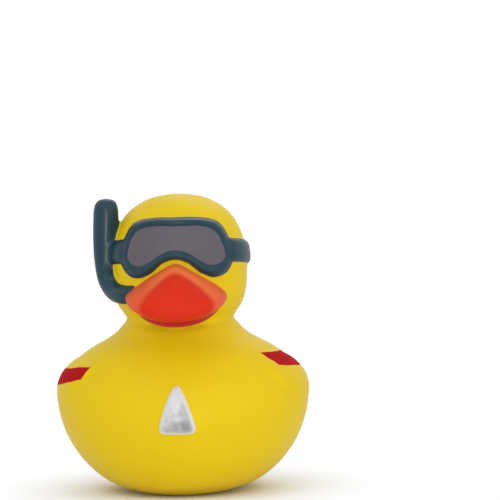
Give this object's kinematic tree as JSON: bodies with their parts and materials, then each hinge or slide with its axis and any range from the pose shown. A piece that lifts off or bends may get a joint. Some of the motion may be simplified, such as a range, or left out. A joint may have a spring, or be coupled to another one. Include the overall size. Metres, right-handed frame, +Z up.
{
  "type": "bath duck",
  "caption": "One-piece hollow vinyl bath duck with a moulded diving mask, head strap, snorkel, wings, upturned tail and a raised plate on its chest.",
  "frame": {"origin": "middle of the part's box at the flat base it stands on", "axes": "+Z up through the head, the duck looks along -Y, +X to the duck's own left"},
  "size_m": [0.0722, 0.0802, 0.085],
  "materials": {
    "vinyl": "smooth satin vinyl, painted details"
  },
  "bodies": {
    "root": {"duck": "vinyl"}
  },
  "joints": []
}
